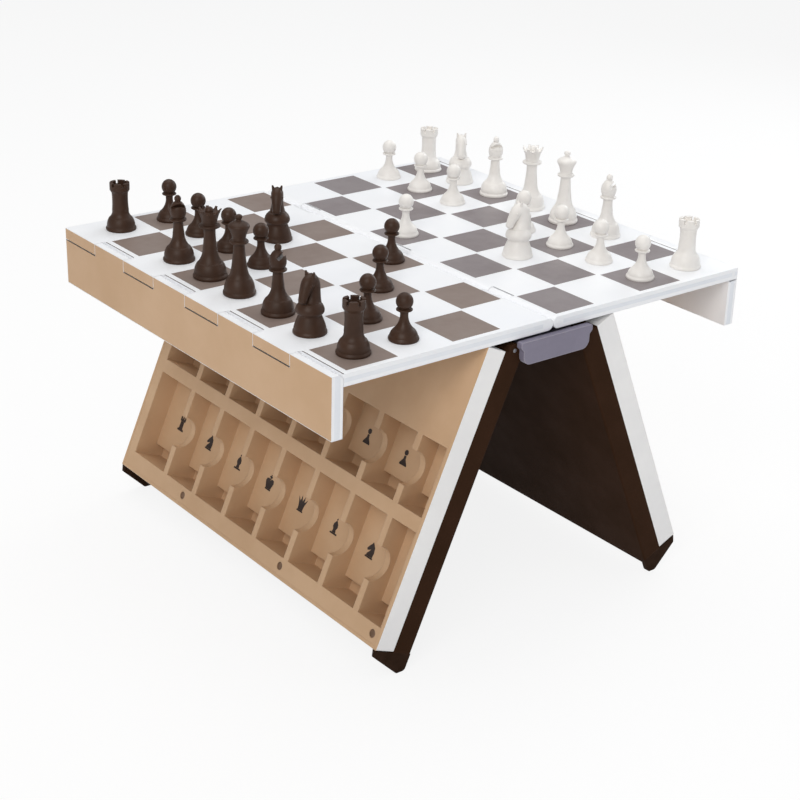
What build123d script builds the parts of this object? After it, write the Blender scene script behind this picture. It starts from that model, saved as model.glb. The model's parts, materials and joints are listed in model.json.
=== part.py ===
from build123d import *
import math
import os

# Folding chess board: a book-like case stood on its two covers as a trestle, under a two-leaf board.
# X runs across the fold, Y along it and Z up from the floor; the fold lies over the origin. Sizes are in mm.

# Board leaves
cells = 8
square = 35.0
board_margin = 2.8
panel_thickness = 7.0
seam_margin = 3.5
fold_margin = 5.2
tile_gap = 1.75
tile_depth = 0.4
sheet_thickness = 0.8
liner_thickness = 0.8
liner_inset = 8.0
fold_gap = 0.3

# Flaps
flap_drop = 36.0
facing_thickness = 1.0
facing_inset = 0.4

# Hinges
pin_diameter = 2.4
pin_play = 0.03
pin_end_wall = 4.0
running_gap = 0.2
bracket_length = 18.0
bracket_count = 3
bracket_foot_width = 14.0
bracket_foot_thickness = 2.0
leg_knuckle_count = 7
leg_barrel_radius = 4.0
leg_barrel_play = 0.6
lug_depth_share = 0.7

# Stand
leg_angle = 23.4
rest_gap = 0.2
closing_gap = 0.35

# Legs: a cover with a tray on it
tray_start = 1.8
rim_level = 20.0
frame_level = 6.7
frame_wall = 1.8
cover_level = -7.0
cover_skin = 3.0
cover_wall = 1.8
cover_lip = 4.0
cover_lip_level = 9.0
cover_round = 1.0

# Tray insert, measured down the slope from the tray's upper end
top_block_length = 60.0
pawn_row_length = 41.3
mid_rail_width = 8.7
piece_row_length = 57.8
bottom_rail_width = 12.6
compartment_depth = 15.0
insert_skin = 1.5
divider_thickness = 4.6
first_divider_share = 0.76
divider_count = 7
scoop_radius = 10.5
scoop_place_share = 0.49
base_slot_length = 8.0
base_slot_depth = 21.6
near_end_wall = 1.2
far_end_wall = 8.0

# Magnets in the bottom rail
magnet_diameter = 5.0
magnet_thickness = 2.5
magnet_recess = 0.5
magnet_places_share = (0.012, 0.345, 0.748)

# Feet
foot_length = 3.5
foot_drop = 10.37
foot_lip_level = 19.5
foot_heel_length = 4.6
foot_heel_level = 18.1
foot_ball_level = -1.6
foot_round = 2.5

# Spine
spine_side_gap = 2.0
spine_top_gap = 0.6
spine_height = 7.6
spine_skin = 2.0
spine_corner = 2.5
cap_thickness = 4.0
cap_side_gap = 1.0
cap_top_drop = 8.2
cap_neck = 2.0
cap_corner = 0.9
cap_lobe_round = 5.0
end_gap = 0.3

# Chess pieces: base diameter and height of each kind
king_base = 18.8
king_height = 46.8
queen_base = 19.8
queen_height = 42.2
bishop_base = 18.6
bishop_height = 40.0
knight_base = 18.8
knight_height = 34.6
rook_base = 18.4
rook_height = 30.0
pawn_base = 16.4
pawn_height = 26.4
crown_notch_count = 6
coronet_point_count = 8
coronet_gap_share = 0.66

overrun = 1.0

# Derived sizes
board_length = cells * square + 2 * board_margin
half_length = board_length / 2
half_cells = cells / 2
leaf_width = half_cells * square + seam_margin
pin_radius = pin_diameter / 2
bore_radius = pin_radius + pin_play
half_thickness = panel_thickness / 2
lean_sine = math.sin(math.radians(leg_angle))
lean_cosine = math.cos(math.radians(leg_angle))
top_block_end = top_block_length
mid_rail_start = top_block_end + pawn_row_length
mid_rail_end = mid_rail_start + mid_rail_width
bottom_rail_start = mid_rail_end + piece_row_length
tray_length = bottom_rail_start + bottom_rail_width
tray_end = tray_start + tray_length
leg_x = panel_thickness + fold_gap / 2 + closing_gap + rim_level
leg_z = (tray_end + foot_drop) * lean_cosine - cover_level * lean_sine
underside = leg_z + rest_gap + rim_level * lean_sine - tray_start * lean_cosine
table_height = underside + panel_thickness
liner_top = underside + liner_thickness
fold_x = half_thickness + fold_gap / 2
fold_z = table_height - half_thickness
flap_x = leaf_width + half_thickness
flap_z = fold_z
finger_sweep = math.hypot(half_thickness, half_thickness) + running_gap
floor_level = rim_level - compartment_depth
spine_half_width = leg_x - leg_barrel_radius - spine_side_gap
spine_top = leg_z + tray_start - spine_top_gap
spine_bottom = spine_top - spine_height
cap_half_width = leg_x - cap_side_gap
first_divider_y = first_divider_share * square - half_length


def box(x0, x1, y0, y1, z0, z1):
    """A box between two corners."""
    size = Box(x1 - x0, y1 - y0, z1 - z0)
    return Pos((x0 + x1) / 2, (y0 + y1) / 2, (z0 + z1) / 2) * size


def rod(radius, y0, y1, x=0.0, z=0.0):
    """A cylinder along Y."""
    return Pos(x, (y0 + y1) / 2, z) * Rot(90, 0, 0) * Cylinder(radius, y1 - y0)


def prism(points, y0, y1):
    """A solid along Y whose section is a polygon in X and Z."""
    face = make_face(Polyline(*[(x, 0, z) for x, z in points], close=True))
    return Pos(0, y0, 0) * extrude(face, y1 - y0, dir=(0, 1, 0))


def turned(base, height, outline):
    """A solid of revolution; each step of its outline, in shares of radius and height, is a line or arc."""
    radius = base / 2
    here = Vector(0, 0, 0)
    edges = []
    for step in outline:
        there = [Vector(r * radius, 0, z * height) for r, z in step]
        edges.append(ThreePointArc(here, *there) if len(step) == 2 else Line(here, *there))
        here = there[-1]
    edges.append(Line(here, (0, 0, 0)))
    return revolve(make_face(Wire(edges)), Axis.Z)


def half_turn(shape):
    """The same piece on the other side of the fold."""
    return Rot(0, 0, 180) * shape


def group(shapes):
    """Separate solids kept in one node."""
    return Compound([solid for shape in shapes for solid in shape.solids()])


def save(name, shape):
    """Writes one node."""
    export_step(shape, f"parts/{name}.step")


# Board leaf, made for the -X side
knuckle_places = [(k - half_cells) * square for k in range(cells)]


def knuckle_span(index, play):
    """Where a flap knuckle or a leaf finger lies along Y; the end ones run to the board's ends."""
    low = -half_length if index == 0 else knuckle_places[index] + play
    high = half_length if index == cells - 1 else knuckle_places[index] + square - play
    return low, high


def bracket_places():
    """The middles of the fold brackets along Y."""
    step = board_length / bracket_count
    return [(k + 0.5) * step - half_length for k in range(bracket_count)]


def tile_cells():
    """The dark squares of the -X half, as columns from the outer edge and rows from the near end."""
    return [(v, u) for v in range(cells // 2) for u in range(cells) if (u + v) % 2 == 0]


def tile(v, u, thickness):
    """One dark square, clipped beside the fold."""
    trim = tile_gap / 2
    x0 = (v - half_cells) * square + trim
    x1 = min(x0 + square - tile_gap, -fold_margin)
    y0 = (u - half_cells) * square + trim
    return box(x0, x1, y0, y0 + square - tile_gap, table_height - thickness, table_height)


def make_leaf():
    """A board leaf with a rounded fold edge, fingers at the flap and pockets for tiles, sheet and liner."""
    edge = -leaf_width + running_gap
    leaf = box(edge, -fold_x, -half_length, half_length, underside, table_height)
    leaf += rod(half_thickness, -half_length, half_length, -fold_x, fold_z)
    for k in range(1, cells, 2):
        low, high = knuckle_span(k, running_gap)
        leaf += box(-flap_x - half_thickness, edge, low, high, underside, table_height)
    for y in bracket_places():
        reach = bracket_length / 2 + running_gap
        leaf -= rod(half_thickness + running_gap / 2, y - reach, y + reach, -fold_x, fold_z)
        leaf -= box(-fold_x, overrun, y - reach, y + reach, underside - overrun, table_height + overrun)
    leaf -= rod(bore_radius, pin_end_wall - half_length, half_length + overrun, -fold_x, fold_z)
    leaf -= rod(bore_radius, pin_end_wall - half_length, half_length + overrun, -flap_x, flap_z)
    leaf -= liner_plate(underside - overrun, liner_top + sheet_thickness)
    for v, u in tile_cells():
        leaf -= tile(v, u, tile_depth)
    return leaf


def liner_plate(low, high):
    """A plate of the liner's outline."""
    inset = liner_inset + half_thickness
    reach = half_length - liner_inset
    return box(liner_inset - leaf_width, -inset, -reach, reach, low, high)


def make_flap():
    """A flap that hangs from the leaf's outer edge, with knuckles and coves for the leaf's fingers."""
    outer = -leaf_width - panel_thickness
    low_edge = table_height - flap_drop
    top = underside - running_gap
    flap = box(outer, -leaf_width, -half_length, half_length, low_edge, top)
    for k in range(1, cells, 2):
        low, high = knuckle_span(k, -running_gap)
        flap -= rod(finger_sweep, low, high, -flap_x, flap_z)
    for k in range(0, cells, 2):
        low, high = knuckle_span(k, running_gap)
        flap += box(outer, -leaf_width, low, high, top, fold_z)
        flap += box(outer, -flap_x, low, high, fold_z, table_height)
        flap += rod(half_thickness, low, high, -flap_x, flap_z)
    flap -= rod(bore_radius, pin_end_wall - half_length, half_length + overrun, -flap_x, flap_z)
    return flap - make_facing()


def make_facing():
    """The facing sheet let into the flap's outer face, below the knuckles."""
    outer = -leaf_width - panel_thickness
    low_edge = table_height - flap_drop + facing_inset
    high_edge = flap_z - finger_sweep - facing_inset
    reach = half_length - facing_inset
    return box(outer, outer + facing_thickness, -reach, reach, low_edge, high_edge)


def long_pin(x, z):
    """A hinge pin pushed in from the far end."""
    return rod(pin_radius, pin_end_wall - half_length, half_length - pin_end_wall, x, z)


# Leg, made flat: X down the leg from its hinge axis, Z out of the tray's open face
down_leg = (-lean_sine, 0, -lean_cosine)
out_of_tray = (-lean_cosine, 0, lean_sine)
leg_frame = Plane(origin=(-leg_x, 0, leg_z), x_dir=down_leg, z_dir=out_of_tray)


def on_leg(shape):
    """Puts a piece made flat on the leg of the -X side."""
    return leg_frame.location * shape


def leg_knuckle_span(index, play):
    """Where a knuckle of the cover hinge lies along Y."""
    step = board_length / leg_knuckle_count
    low = index * step - half_length
    return low + (play if index else 0), low + step - (play if index + 1 < leg_knuckle_count else 0)


def make_cover():
    """The hard cover: an outer skin with walls, a lip under the tray's end and knuckles at the spine."""
    end = tray_end + running_gap
    foot = end + cover_lip
    cover = box(tray_start, foot, -half_length, half_length, cover_level, frame_level)
    cover = fillet(cover.faces().sort_by(Axis.Z)[0].edges(), cover_round)
    inner = half_length - cover_wall
    head = tray_start + cover_wall
    hollow = box(head, end - cover_wall, -inner, inner, cover_level + cover_skin, frame_level + overrun)
    cover += box(end, foot, -half_length, half_length, frame_level, cover_lip_level)
    cover -= hollow
    for k in range(leg_knuckle_count):
        low, high = leg_knuckle_span(k, running_gap)
        if k % 2 == 0:
            cover += rod(leg_barrel_radius, low, high)
            cover += box(0, head, low, high, -leg_barrel_radius, leg_barrel_radius)
        else:
            low, high = leg_knuckle_span(k, -running_gap)
            cover -= rod(leg_barrel_radius + leg_barrel_play, low, high)
    cover -= rod(bore_radius, -half_length - overrun, half_length + overrun)
    for low, high in foot_spans():
        cover -= box(end, foot + overrun, low, high, cover_level - overrun, cover_lip_level + overrun)
    return cover


def foot_spans():
    """Where the feet lie along Y."""
    return [(-half_length, foot_length - half_length), (half_length - foot_length, half_length)]


def make_frame():
    """The tray's outer frame: four walls round the insert."""
    inner = half_length - frame_wall
    frame = box(tray_start, tray_end, -half_length, half_length, frame_level, rim_level)
    low, high = tray_start + frame_wall, tray_end - frame_wall
    frame -= box(low, high, -inner, inner, frame_level - overrun, rim_level + overrun)
    return fillet(frame.edges().filter_by(Axis.Z).group_by(SortBy.DISTANCE)[-1], cover_round)


def divider_places():
    """The middles of the dividers along the leg frame's Y, which points the other way from the board's."""
    return [-(first_divider_y + k * square) for k in range(divider_count)]


def make_insert():
    """The tray insert: floors, base slots, rails, end walls and dividers with finger scoops."""
    inner = half_length - frame_wall
    near = inner - near_end_wall
    far = far_end_wall - inner
    low, high = tray_start + frame_wall, tray_end - frame_wall
    block, bottom = tray_start + top_block_end, tray_start + bottom_rail_start
    mid0, mid1 = tray_start + mid_rail_start, tray_start + mid_rail_end
    floor = floor_level - insert_skin
    slot_floor = rim_level - base_slot_depth
    upper_slot, lower_slot = mid0 - base_slot_length, bottom - base_slot_length
    pieces = [
        box(low, block, -inner, inner, rim_level - insert_skin, rim_level),
        box(block - insert_skin, block, -inner, inner, floor, rim_level - insert_skin),
        box(mid0, mid1, -inner, inner, floor, rim_level),
        box(block, upper_slot, -inner, inner, floor, floor_level),
        box(mid1, lower_slot, -inner, inner, floor, floor_level),
    ]
    rail = box(bottom, high, -inner, inner, floor, rim_level)
    well = Cylinder(magnet_diameter / 2, 2 * (magnet_thickness + magnet_recess))
    for place in magnet_places():
        rail -= Pos(magnet_line, place, rim_level) * well
    pieces.append(rail)
    for start, slot, stop, scoop in (
        (block, upper_slot, mid0, block + scoop_place_share * pawn_row_length),
        (mid1, lower_slot, bottom, mid1 + scoop_place_share * piece_row_length),
    ):
        skin0, skin1 = slot - insert_skin, stop + insert_skin
        pieces.append(box(skin0, skin1, far, near, slot_floor - insert_skin, slot_floor))
        pieces.append(box(skin0, slot, far, near, slot_floor, floor))
        pieces.append(box(stop, skin1, far, near, slot_floor, floor))
        pieces.append(box(start, slot, near, inner, floor_level, rim_level))
        pieces.append(box(start, slot, -inner, far, floor_level, rim_level))
        pieces.append(box(slot, stop, near, inner, slot_floor, rim_level))
        pieces.append(box(slot, stop, -inner, far, slot_floor, rim_level))
        for y in divider_places():
            side0, side1 = y - divider_thickness / 2, y + divider_thickness / 2
            divider = box(start, slot, side0, side1, floor_level, rim_level)
            divider += box(slot, stop, side0, side1, slot_floor, rim_level)
            divider -= rod(scoop_radius, side0 - overrun, side1 + overrun, scoop, rim_level)
            pieces.append(divider)
    return group(pieces)


magnet_line = tray_start + (bottom_rail_start + tray_length - frame_wall) / 2


def magnet_places():
    """The magnets along the leg frame's Y."""
    reach = half_length - frame_wall - magnet_diameter / 2
    return [reach - 2 * reach * place for place in magnet_places_share]


def make_magnets():
    """The disc magnets sunk in the bottom rail."""
    disc = Cylinder(magnet_diameter / 2, magnet_thickness)
    level = rim_level - magnet_recess - magnet_thickness / 2
    return group([Pos(magnet_line, place, level) * disc for place in magnet_places()])


def make_feet():
    """The rubber feet at the cover's lower corners, with a flat sole between a round ball and toe."""
    end = tray_end + running_gap
    ball = (leg_z + foot_ball_level * lean_sine) / lean_cosine
    outline = [
        (end, foot_lip_level),
        (end + foot_heel_length, foot_heel_level),
        (ball, foot_ball_level),
        (tray_end + foot_drop, cover_level),
        (end, cover_level),
    ]
    feet = []
    for low, high in foot_spans():
        foot = prism(outline, low, high)
        sole_edges = foot.edges().filter_by(Axis.Y).sort_by(Axis.X)[-2:]
        feet.append(fillet(sole_edges, foot_round))
    return group(feet)


# Spine
def spine_section(inset):
    """Half-round trough section of the spine, drawn in by a wall."""
    half, low = spine_half_width - inset, spine_bottom + inset
    corner = spine_corner - inset / 2
    return [
        (-half, spine_top - inset),
        (half, spine_top - inset),
        (half, low + corner),
        (half - corner, low),
        (corner - half, low),
        (-half, low + corner),
    ]


def make_spine():
    """The spine: a hollow bar with lugs round both leg pins and seats for the fold brackets."""
    spine = prism(spine_section(0), -half_length, half_length)
    corners = spine.edges().filter_by(Axis.Y).sort_by(Axis.Z)[:4]
    spine = fillet(corners, spine_skin)
    spine -= prism(spine_section(spine_skin), -half_length - overrun, half_length + overrun)
    lug_low = leg_z - leg_barrel_radius * lug_depth_share
    for k in range(1, leg_knuckle_count, 2):
        low, high = leg_knuckle_span(k, running_gap)
        for x in (-leg_x, leg_x):
            reach = math.copysign(spine_half_width - spine_skin / 2, x)
            lug = box(min(x, reach), max(x, reach), low, high, lug_low, spine_top)
            spine += lug + rod(leg_barrel_radius, low, high, x, leg_z)
    for x in (-leg_x, leg_x):
        spine -= rod(pin_radius, -half_length - overrun, half_length + overrun, x, leg_z)
    return spine


def make_brackets():
    """The fold brackets: two barrels on a web and a foot, one bracket at each notch of the leaves."""
    barrel = half_thickness - running_gap
    half_foot = bracket_foot_width / 2
    brackets = []
    for y in bracket_places():
        low, high = y - bracket_length / 2, y + bracket_length / 2
        foot = box(-half_foot, half_foot, low, high, spine_top, spine_top + bracket_foot_thickness)
        bracket = foot + box(-barrel, barrel, low, high, spine_top, fold_z)
        for x in (-fold_x, fold_x):
            bracket += rod(barrel, low, high, x, fold_z)
            bracket -= rod(pin_radius, low - overrun, high + overrun, x, fold_z)
        brackets.append(bracket)
    return group(brackets)


def make_caps():
    """The end caps that close the spine and cover the leg pins."""
    top = table_height - cap_top_drop
    neck = cap_half_width - cap_neck
    low = spine_bottom - spine_skin
    section = [
        (-cap_half_width, top),
        (cap_half_width, top),
        (cap_half_width, leg_z + cap_neck),
        (neck, leg_z),
        (neck, low),
        (-neck, low),
        (-neck, leg_z),
        (-cap_half_width, leg_z + cap_neck),
    ]
    cap = prism(section, -half_length - end_gap - cap_thickness, -half_length - end_gap)
    cap = fillet(cap.edges().filter_by(Axis.Y).sort_by(Axis.Z)[:2], cap_lobe_round)
    cap = fillet(cap.edges().filter_by(Axis.Y).sort_by(Axis.Z)[-6:], cap_corner)
    plug = prism(spine_section(spine_skin + running_gap), -half_length - end_gap, cap_thickness - half_length)
    cap += plug
    return group([cap, half_turn(cap)])


def make_pins():
    """The steel pins that the spine holds: two at the fold and two at the covers."""
    pins = [long_pin(x, fold_z) for x in (-fold_x, fold_x)]
    pins += [rod(pin_radius, -half_length, half_length, x, leg_z) for x in (-leg_x, leg_x)]
    return group(pins)


# Chess pieces: outlines in shares of base radius and height, from the middle of the base outwards
bell_shares = [
    [(1.0, 0.0)],
    [(1.03, 0.025), (0.98, 0.05)],
    [(0.95, 0.06)],
    [(0.91, 0.14), (0.76, 0.21)],
    [(0.70, 0.22)],
]
pawn_shares = [
    [(1.0, 0.0)],
    [(1.03, 0.035), (0.98, 0.07)],
    [(0.94, 0.09)],
    [(0.86, 0.16), (0.64, 0.24)],
    [(0.36, 0.38), (0.29, 0.60)],
    [(0.50, 0.625)],
    [(0.55, 0.645), (0.50, 0.665)],
    [(0.36, 0.675)],
    [(0.57, 0.83), (0.04, 1.0)],
    [(0.0, 1.0)],
]
rook_shares = [
    [(1.0, 0.0)],
    [(1.03, 0.03), (0.98, 0.06)],
    [(0.95, 0.075)],
    [(0.91, 0.17), (0.79, 0.25)],
    [(0.72, 0.27)],
    [(0.60, 0.33), (0.565, 0.42)],
    [(0.53, 0.62), (0.55, 0.79)],
    [(0.67, 0.85)],
    [(0.67, 1.0)],
    [(0.46, 1.0)],
    [(0.46, 0.90)],
    [(0.0, 0.90)],
]
bishop_shares = [
    *bell_shares,
    [(0.48, 0.30), (0.38, 0.42)],
    [(0.325, 0.52), (0.31, 0.60)],
    [(0.50, 0.615)],
    [(0.54, 0.63), (0.50, 0.645)],
    [(0.40, 0.655)],
    [(0.52, 0.76), (0.17, 0.91)],
    [(0.21, 0.96), (0.04, 1.0)],
    [(0.0, 1.0)],
]
coronet_reach_share, coronet_level_share = 0.72, 0.965
queen_shares = [
    *bell_shares,
    [(0.50, 0.31), (0.42, 0.42)],
    [(0.36, 0.55), (0.35, 0.70)],
    [(0.58, 0.715)],
    [(0.64, 0.733), (0.58, 0.75)],
    [(0.44, 0.76)],
    [(0.48, 0.83), (coronet_reach_share, coronet_level_share)],
    [(0.48, 0.93)],
    [(0.24, 0.93)],
    [(0.20, 0.98), (0.04, 1.0)],
    [(0.0, 1.0)],
]
king_shares = [
    *bell_shares,
    [(0.50, 0.30), (0.42, 0.40)],
    [(0.36, 0.52), (0.35, 0.64)],
    [(0.56, 0.655)],
    [(0.60, 0.67), (0.56, 0.685)],
    [(0.42, 0.695)],
    [(0.49, 0.76), (0.65, 0.83)],
    [(0.67, 0.86), (0.54, 0.89)],
    [(0.32, 0.92)],
    [(0.22, 0.955)],
    [(0.12, 0.99), (0.04, 1.0)],
    [(0.0, 1.0)],
]
knight_foot_shares = [
    *bell_shares,
    [(0.70, 0.25)],
    [(0.74, 0.27)],
    [(0.89, 0.35), (0.74, 0.44)],
    [(0.0, 0.44)],
]
horse_back_shares = [(-0.66, 0.42), (-0.74, 0.58), (-0.64, 0.80), (-0.28, 0.96)]
horse_face_shares = [
    (-0.12, 1.0),
    (0.02, 0.95),
    (0.22, 0.90),
    (0.62, 0.64),
    (0.66, 0.57),
    (0.50, 0.52),
    (0.24, 0.60),
    (0.18, 0.54),
    (0.58, 0.43),
]
horse_front_shares = [(0.58, 0.38), (0.52, 0.62), (0.40, 0.80), (0.34, 0.94), (0.24, 1.0), (0.0, 0.93)]
slit_width_share, slit_tilt = 0.11, 50.0
slit_level_share, slit_reach_share = 0.80, 0.075


def make_pawn():
    """A pawn."""
    return turned(pawn_base, pawn_height, pawn_shares)


def make_rook():
    """A rook with a notched crown."""
    rook = turned(rook_base, rook_height, rook_shares)
    level = rook_height * rook_shares[-1][0][1]
    width = rook_base / 2 / crown_notch_count
    for k in range(crown_notch_count):
        notch = box(0, rook_base, -width / 2, width / 2, level + width / 2, rook_height + overrun)
        rook -= Rot(0, 0, k * 360 / crown_notch_count) * notch
    return rook


def make_bishop():
    """A bishop with a slanted slit in its mitre."""
    bishop = turned(bishop_base, bishop_height, bishop_shares)
    width = bishop_base * slit_width_share
    slit = box(0, bishop_base, -bishop_base, bishop_base, -width / 2, width / 2)
    place = Pos(bishop_base * slit_reach_share, 0, bishop_height * slit_level_share)
    return bishop - place * Rot(0, -slit_tilt, 0) * slit


def make_queen():
    """A queen with a pointed coronet."""
    queen = turned(queen_base, queen_height, queen_shares)
    radius = queen_base / 2 * coronet_reach_share
    level = queen_height * coronet_level_share
    cut = math.pi * radius / coronet_point_count * coronet_gap_share
    for k in range(coronet_point_count):
        gap = Pos(radius, 0, level) * Rot(0, 90, 0) * Cylinder(cut, radius)
        queen -= Rot(0, 0, k * 360 / coronet_point_count) * gap
    return queen


def make_king():
    """A king with a domed crown and a small finial."""
    return turned(king_base, king_height, king_shares)


def make_knight():
    """A knight: a turned foot under a horse's head cut to a side outline and a front outline."""
    radius = knight_base / 2
    back = [(x * radius, 0, z * knight_height) for x, z in horse_back_shares]
    face = [(x * radius, 0, z * knight_height) for x, z in horse_face_shares]
    side = Wire([Spline(*back), *Polyline(back[-1], *face, back[0]).edges()])
    head = extrude(make_face(side), radius, dir=(0, 1, 0), both=True)
    half = [(0, y * radius, z * knight_height) for y, z in horse_front_shares]
    other = [(0, -y, z) for _, y, z in reversed(half[:-1])]
    front = extrude(make_face(Polyline(*half, *other, close=True)), knight_base, dir=(1, 0, 0), both=True)
    return turned(knight_base, knight_height, knight_foot_shares) + (head & front)


makers = {
    "king": make_king,
    "queen": make_queen,
    "bishop": make_bishop,
    "knight": make_knight,
    "rook": make_rook,
    "pawn": make_pawn,
}

# Where the pieces stand: column across the fold, row from the near end, turn in degrees
dark_places = {
    "king": [(-0.04, 3.05, 0)],
    "queen": [(0, 4, 0)],
    "bishop": [(0, 2, 305), (0, 5, 250)],
    "knight": [(-0.06, 1.04, 196), (2, 5, 232)],
    "rook": [(0, 0, 20), (0, 7, 20)],
    "pawn": [(0.96, 0.02, 0), (1, 1, 0), (1, 4, 0), (1, 5, 0), (1, 6, 0), (1, 7, 0), (2, 2, 0), (3, 3, 0)],
}
white_places = {
    "king": [(7, 3, 0)],
    "queen": [(7.05, 3.98, 0)],
    "bishop": [(7.09, 1.97, 310), (7.03, 5, 250)],
    "knight": [(5, 2, 165), (7, 6, 232)],
    "rook": [(7.07, -0.02, 20), (7, 7, 20)],
    "pawn": [(4.07, 3.98, 0), (6, 0, 0), (6, 1, 0), (6, 2, 0), (6, 3, 0), (6, 5, 0), (6, 6, 0), (6, 7, 0)],
}


def save_pieces(colour, places):
    """Writes every chess piece of one colour, standing on its square."""
    middle = (cells - 1) / 2
    for kind, spots in places.items():
        piece = makers[kind]()
        for number, (v, u, turn) in enumerate(spots, 1):
            name = f"{colour}_{kind}_{number}" if len(spots) > 1 else f"{colour}_{kind}"
            spot = Pos((v - middle) * square, (u - middle) * square, table_height)
            save(name, spot * Rot(0, 0, turn) * piece)


def save_sides(name, shape):
    """Writes a piece of the -X side and its twin on the other side."""
    save(f"left_{name}", shape)
    save(f"right_{name}", half_turn(shape))


os.makedirs("parts", exist_ok=True)

save("spine_bar", make_spine())
save("spine_end_caps", make_caps())
save("fold_brackets", make_brackets())
save("hinge_pins", make_pins())

save_sides("cover", on_leg(make_cover()))
save_sides("tray_frame", on_leg(make_frame()))
save_sides("tray_insert", on_leg(make_insert()))
save_sides("tray_magnets", on_leg(make_magnets()))
save_sides("feet", on_leg(make_feet()))

save_sides("board_leaf", make_leaf())
save_sides("dark_squares", group([tile(v, u, tile_depth) for v, u in tile_cells()]))
save_sides("steel_sheet", liner_plate(liner_top, liner_top + sheet_thickness))
save_sides("leaf_liner", liner_plate(underside, liner_top))
save_sides("flap_pin", long_pin(-flap_x, flap_z))
save_sides("flap", make_flap())
save_sides("flap_facing", make_facing())

save_pieces("dark", dark_places)
save_pieces("white", white_places)
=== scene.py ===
import json
import math

import bmesh
import bpy
from mathutils import Matrix, Vector


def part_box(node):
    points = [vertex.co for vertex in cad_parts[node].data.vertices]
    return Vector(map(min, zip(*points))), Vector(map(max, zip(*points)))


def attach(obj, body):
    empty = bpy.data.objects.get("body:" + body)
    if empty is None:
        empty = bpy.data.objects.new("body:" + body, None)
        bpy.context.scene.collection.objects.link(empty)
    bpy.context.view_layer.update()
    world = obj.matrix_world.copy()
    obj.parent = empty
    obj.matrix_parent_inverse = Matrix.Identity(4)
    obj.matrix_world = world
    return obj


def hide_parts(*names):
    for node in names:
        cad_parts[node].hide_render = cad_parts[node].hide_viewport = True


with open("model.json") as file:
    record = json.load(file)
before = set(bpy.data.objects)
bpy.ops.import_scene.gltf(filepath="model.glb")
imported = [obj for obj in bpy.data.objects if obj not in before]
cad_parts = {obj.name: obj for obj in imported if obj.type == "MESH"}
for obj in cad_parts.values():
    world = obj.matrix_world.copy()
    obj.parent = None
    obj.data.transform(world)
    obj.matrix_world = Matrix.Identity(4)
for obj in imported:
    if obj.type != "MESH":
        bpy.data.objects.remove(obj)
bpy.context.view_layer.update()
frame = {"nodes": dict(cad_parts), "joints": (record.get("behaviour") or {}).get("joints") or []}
nodes = frame["nodes"]

# Sizes of the set in metres, from the frame where it has them
MM = 0.001
SQUARE = 35 * MM
RANKS = 8
leaf_low, leaf_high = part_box("left_board_leaf")
flap_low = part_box("left_flap")[0]
TABLE = leaf_high[2]
HALF_LENGTH = leaf_high[1]
THICK = leaf_high[2] - leaf_low[2]
FLAP_FACE = flap_low[0]
FLAP_EDGE = flap_low[2]
joints = {joint["name"]: joint for joint in frame["joints"]}
LEG_HINGE = Vector(joints["left_leg_fold"]["pos_m"])
LEAN = math.radians(180 - joints["left_leg_fold"]["range_deg"][1])

# Levels of the tray over the hinge line, and the ends of its rim down the leg
TRAY_FLOOR = 5 * MM
TRAY_RIM = 20 * MM
RIM_START = 1.9 * MM
RIM_END = 182.1 * MM
RIM_WIDTH = 1.8 * MM
RIM_INSET = 0.1 * MM
RIM_SKIN = 0.1 * MM

# Trim of the flap's face: how far the skins stand proud and start under the face, and their gaps
SEAM_GAP = 0.2 * MM
SKIN_PROUD = 0.12 * MM
SKIN_SUNK = 0.02 * MM
SKIN_SIDE = 0.1 * MM
SKIN_FOOT = 0.05 * MM
SKIN_TOP = 0.35 * MM
END_INSET = 0.3 * MM
FACING_DEPTH = 1.0 * MM
FACING_EDGE = 0.4 * MM
POCKET_TOP = 9.05 * MM
KNUCKLE_INSET = 0.15 * MM
# Painted shade of the slits under the leaf's fingers: its top and foot below the leaf, and its depth
SLIT_TOP = 0.3 * MM
SLIT_FOOT = 0.85 * MM
SLIT_DEPTH = 0.1 * MM

# Pale bands on the end faces of the board, and dark lines of painted shade along the seams by the flap's
# knuckles
BAND_SUNK = 0.02 * MM
BAND_DEPTH = 0.06 * MM
BAND_LOW = 4.7 * MM
BAND_HIGH = 2.3 * MM
BAND_STOP = -7.6 * MM
BAND_NEAR_START = -142.9 * MM
BAND_FAR_START = -150.2 * MM
FLAP_BAND_NEAR_TOP = 0.3 * MM
FLAP_BAND_FAR_TOP = 7.9 * MM
FLAP_BAND_START = 1.7 * MM
FLAP_BAND_STOP = 5.2 * MM
SEAM_EDGE = -143.28 * MM
SEAM_WIDTH = 0.6 * MM
SEAM_INSET = 0.4 * MM
SEAM_HEIGHT = 0.03 * MM

# Plugs over the pin bores of two folds
PLUG_FOLDS = ("right_leaf_fold", "right_flap_fold")
PLUG_RADIUS = 1.35 * MM
PLUG_DEPTH = 0.9 * MM
PLUG_INSET = 0.4 * MM
PLUG_SIDES = 32


# Shared effects
def new_group(name, inputs, outputs):
    """An empty shader group with named sockets."""
    tree = bpy.data.node_groups.new(name, "ShaderNodeTree")
    for label, kind, value in inputs:
        socket = tree.interface.new_socket(label, in_out="INPUT", socket_type=kind)
        socket.default_value = value
    for label, kind in outputs:
        tree.interface.new_socket(label, in_out="OUTPUT", socket_type=kind)
    return tree, tree.nodes.new("NodeGroupInput"), tree.nodes.new("NodeGroupOutput")


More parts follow.
